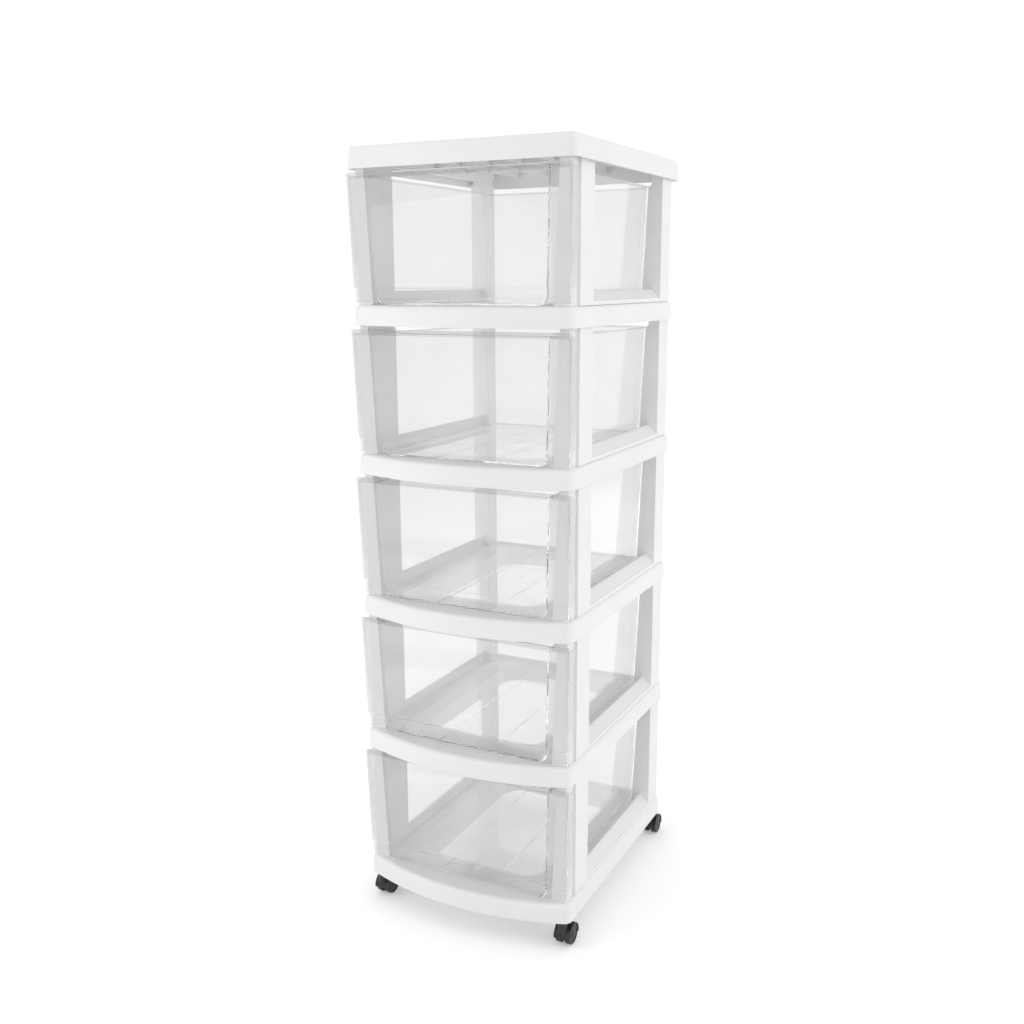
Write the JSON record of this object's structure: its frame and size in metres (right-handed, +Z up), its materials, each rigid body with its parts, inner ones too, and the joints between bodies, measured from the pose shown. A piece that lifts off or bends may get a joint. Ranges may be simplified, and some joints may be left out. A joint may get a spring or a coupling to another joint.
{
  "type": "drawer tower",
  "caption": "Tall plastic drawer tower with clear slide-out drawers in a white frame of bowed shelves and open side panels, on twin-wheel swivel casters.",
  "frame": {"origin": "bottom centre of the bounding box: on the floor, on the left-right symmetry plane, halfway between the middle of the bowed front lips and the rear caster hoods", "axes": "+Z up, -Y towards the front where the drawers pull out, +X to the right seen from the front"},
  "size_m": [0.295, 0.378, 0.9635],
  "materials": {
    "white_plastic": "smooth white injection-moulded plastic",
    "clear_plastic": "clear polished styrene, slightly grey at the edges",
    "black_plastic": "satin black nylon",
    "steel": "plain drawn steel"
  },
  "bodies": {
    "frame": {"top_cover": "white_plastic", "base": "white_plastic", "shelf_1": "white_plastic", "shelf_2": "white_plastic", "shelf_3": "white_plastic", "shelf_4": "white_plastic", "side_panel_left_1": "white_plastic", "side_panel_left_2": "white_plastic", "side_panel_left_3": "white_plastic", "side_panel_left_4": "white_plastic", "side_panel_left_5": "white_plastic", "side_panel_right_1": "white_plastic", "side_panel_right_2": "white_plastic", "side_panel_right_3": "white_plastic", "side_panel_right_4": "white_plastic", "side_panel_right_5": "white_plastic", "caster_front_left_stem": "steel", "caster_front_left_ring": "steel", "caster_front_right_stem": "steel", "caster_front_right_ring": "steel", "caster_rear_left_stem": "steel", "caster_rear_left_ring": "steel", "caster_rear_right_stem": "steel", "caster_rear_right_ring": "steel"},
    "drawer_1": {"drawer_1": "clear_plastic"},
    "drawer_2": {"drawer_2": "clear_plastic"},
    "drawer_3": {"drawer_3": "clear_plastic"},
    "drawer_4": {"drawer_4": "clear_plastic"},
    "drawer_5": {"drawer_5": "clear_plastic"},
    "caster_front_left_swivel": {"caster_front_left_body": "black_plastic", "caster_front_left_axle": "steel"},
    "caster_front_left_wheel_left": {"caster_front_left_wheel_left": "black_plastic"},
    "caster_front_left_wheel_right": {"caster_front_left_wheel_right": "black_plastic"},
    "caster_front_right_swivel": {"caster_front_right_body": "black_plastic", "caster_front_right_axle": "steel"},
    "caster_front_right_wheel_left": {"caster_front_right_wheel_left": "black_plastic"},
    "caster_front_right_wheel_right": {"caster_front_right_wheel_right": "black_plastic"},
    "caster_rear_left_swivel": {"caster_rear_left_body": "black_plastic", "caster_rear_left_axle": "steel"},
    "caster_rear_left_wheel_left": {"caster_rear_left_wheel_left": "black_plastic"},
    "caster_rear_left_wheel_right": {"caster_rear_left_wheel_right": "black_plastic"},
    "caster_rear_right_swivel": {"caster_rear_right_body": "black_plastic", "caster_rear_right_axle": "steel"},
    "caster_rear_right_wheel_left": {"caster_rear_right_wheel_left": "black_plastic"},
    "caster_rear_right_wheel_right": {"caster_rear_right_wheel_right": "black_plastic"}
  },
  "joints": [
    {"name": "drawer_1_slide", "type": "slide", "parent": "frame", "child": "drawer_1", "axis": [0, -1, 0], "range_m": [0, 0.25]},
    {"name": "drawer_2_slide", "type": "slide", "parent": "frame", "child": "drawer_2", "axis": [0, -1, 0], "range_m": [0, 0.25]},
    {"name": "drawer_3_slide", "type": "slide", "parent": "frame", "child": "drawer_3", "axis": [0, -1, 0], "range_m": [0, 0.25]},
    {"name": "drawer_4_slide", "type": "slide", "parent": "frame", "child": "drawer_4", "axis": [0, -1, 0], "range_m": [0, 0.25]},
    {"name": "drawer_5_slide", "type": "slide", "parent": "frame", "child": "drawer_5", "axis": [0, -1, 0], "range_m": [0, 0.25]},
    {"name": "caster_front_left_turn", "type": "hinge", "parent": "frame", "child": "caster_front_left_swivel", "pos_m": [-0.132, -0.152, 0.032], "axis": [0, 0, 1], "continuous": true},
    {"name": "caster_front_left_roll_left", "type": "hinge", "parent": "caster_front_left_swivel", "child": "caster_front_left_wheel_left", "pos_m": [-0.1386, -0.141, 0.0125], "axis": [1, 0, 0], "continuous": true},
    {"name": "caster_front_left_roll_right", "type": "hinge", "parent": "caster_front_left_swivel", "child": "caster_front_left_wheel_right", "pos_m": [-0.1254, -0.141, 0.0125], "axis": [1, 0, 0], "continuous": true},
    {"name": "caster_front_right_turn", "type": "hinge", "parent": "frame", "child": "caster_front_right_swivel", "pos_m": [0.132, -0.152, 0.032], "axis": [0, 0, 1], "continuous": true},
    {"name": "caster_front_right_roll_left", "type": "hinge", "parent": "caster_front_right_swivel", "child": "caster_front_right_wheel_left", "pos_m": [0.1254, -0.141, 0.0125], "axis": [1, 0, 0], "continuous": true},
    {"name": "caster_front_right_roll_right", "type": "hinge", "parent": "caster_front_right_swivel", "child": "caster_front_right_wheel_right", "pos_m": [0.1386, -0.141, 0.0125], "axis": [1, 0, 0], "continuous": true},
    {"name": "caster_rear_left_turn", "type": "hinge", "parent": "frame", "child": "caster_rear_left_swivel", "pos_m": [-0.132, 0.163, 0.032], "axis": [0, 0, 1], "continuous": true},
    {"name": "caster_rear_left_roll_left", "type": "hinge", "parent": "caster_rear_left_swivel", "child": "caster_rear_left_wheel_left", "pos_m": [-0.1386, 0.174, 0.0125], "axis": [1, 0, 0], "continuous": true},
    {"name": "caster_rear_left_roll_right", "type": "hinge", "parent": "caster_rear_left_swivel", "child": "caster_rear_left_wheel_right", "pos_m": [-0.1254, 0.174, 0.0125], "axis": [1, 0, 0], "continuous": true},
    {"name": "caster_rear_right_turn", "type": "hinge", "parent": "frame", "child": "caster_rear_right_swivel", "pos_m": [0.132, 0.163, 0.032], "axis": [0, 0, 1], "continuous": true},
    {"name": "caster_rear_right_roll_left", "type": "hinge", "parent": "caster_rear_right_swivel", "child": "caster_rear_right_wheel_left", "pos_m": [0.1254, 0.174, 0.0125], "axis": [1, 0, 0], "continuous": true},
    {"name": "caster_rear_right_roll_right", "type": "hinge", "parent": "caster_rear_right_swivel", "child": "caster_rear_right_wheel_right", "pos_m": [0.1386, 0.174, 0.0125], "axis": [1, 0, 0], "continuous": true}
  ]
}
